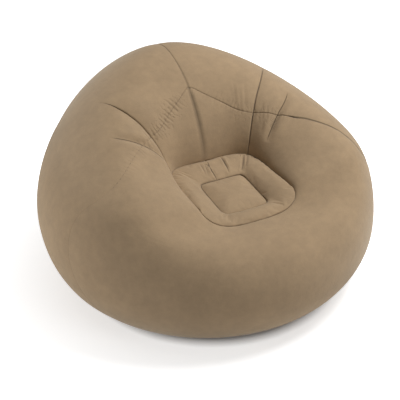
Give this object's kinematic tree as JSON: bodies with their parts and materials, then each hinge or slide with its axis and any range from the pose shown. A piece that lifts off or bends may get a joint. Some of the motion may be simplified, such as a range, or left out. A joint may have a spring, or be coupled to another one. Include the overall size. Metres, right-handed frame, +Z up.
{
  "type": "inflatable armchair",
  "caption": "Round inflatable armchair of flocked film: a high curved back runs down into the arms round a sunken cushioned seat; an air valve sits low on the back.",
  "frame": {"origin": "on the floor, under the middle of the chair's width and depth", "axes": "+Z up, the chair faces -Y, +X towards the sitter's left arm"},
  "size_m": [1.1994, 1.164, 0.7065],
  "materials": {
    "arms_front_panel": "flocked film, soft matte taupe with a short velvety nap",
    "back_left_inner_panel": "flocked film, soft matte taupe with a short velvety nap",
    "back_right_inner_panel": "flocked film, soft matte taupe with a short velvety nap",
    "crown_left_panel": "flocked film, soft matte taupe with a short velvety nap",
    "crown_right_panel": "flocked film, soft matte taupe with a short velvety nap",
    "side_left_panel": "flocked film, soft matte taupe with a short velvety nap",
    "side_right_panel": "flocked film, soft matte taupe with a short velvety nap",
    "rear_panel": "flocked film, soft matte taupe with a short velvety nap",
    "seat_ring_panel": "flocked film, soft matte taupe with a short velvety nap",
    "seat_centre_panel": "flocked film, soft matte taupe with a short velvety nap",
    "base_panel": "plain vinyl film, matte",
    "seat_drum_web": "thin plain vinyl film",
    "seat_web_front": "thin plain vinyl film",
    "seat_web_back": "thin plain vinyl film",
    "seat_web_left": "thin plain vinyl film",
    "seat_web_right": "thin plain vinyl film",
    "valve_flange": "moulded soft vinyl, satin",
    "valve_check_flap": "moulded soft vinyl, satin",
    "valve_stopper": "moulded soft vinyl, satin",
    "valve_cap": "moulded soft vinyl, satin"
  },
  "bodies": {
    "chair": {"arms_front_panel": "arms_front_panel", "back_left_inner_panel": "back_left_inner_panel", "back_right_inner_panel": "back_right_inner_panel", "crown_left_panel": "crown_left_panel", "crown_right_panel": "crown_right_panel", "side_left_panel": "side_left_panel", "side_right_panel": "side_right_panel", "rear_panel": "rear_panel", "seat_ring_panel": "seat_ring_panel", "seat_centre_panel": "seat_centre_panel", "base_panel": "base_panel", "seat_drum_web": "seat_drum_web", "seat_web_front": "seat_web_front", "seat_web_back": "seat_web_back", "seat_web_left": "seat_web_left", "seat_web_right": "seat_web_right", "valve_flange": "valve_flange"},
    "stopper": {"valve_stopper": "valve_stopper"},
    "check_flap": {"valve_check_flap": "valve_check_flap"},
    "cap": {"valve_cap": "valve_cap"}
  },
  "joints": [
    {"name": "stopper_strap", "type": "hinge", "parent": "chair", "child": "stopper", "pos_m": [0, 0.5768, 0.362], "axis": [1, 0, 0], "range_deg": [0, 110]},
    {"name": "cap_strap", "type": "hinge", "parent": "stopper", "child": "cap", "pos_m": [0, 0.5812, 0.32], "axis": [-1, 0, 0], "range_deg": [0, 150]},
    {"name": "check_flap_hinge", "type": "hinge", "parent": "stopper", "child": "check_flap", "pos_m": [0, 0.5664, 0.3465], "axis": [-1, 0, 0], "range_deg": [0, 50]}
  ]
}
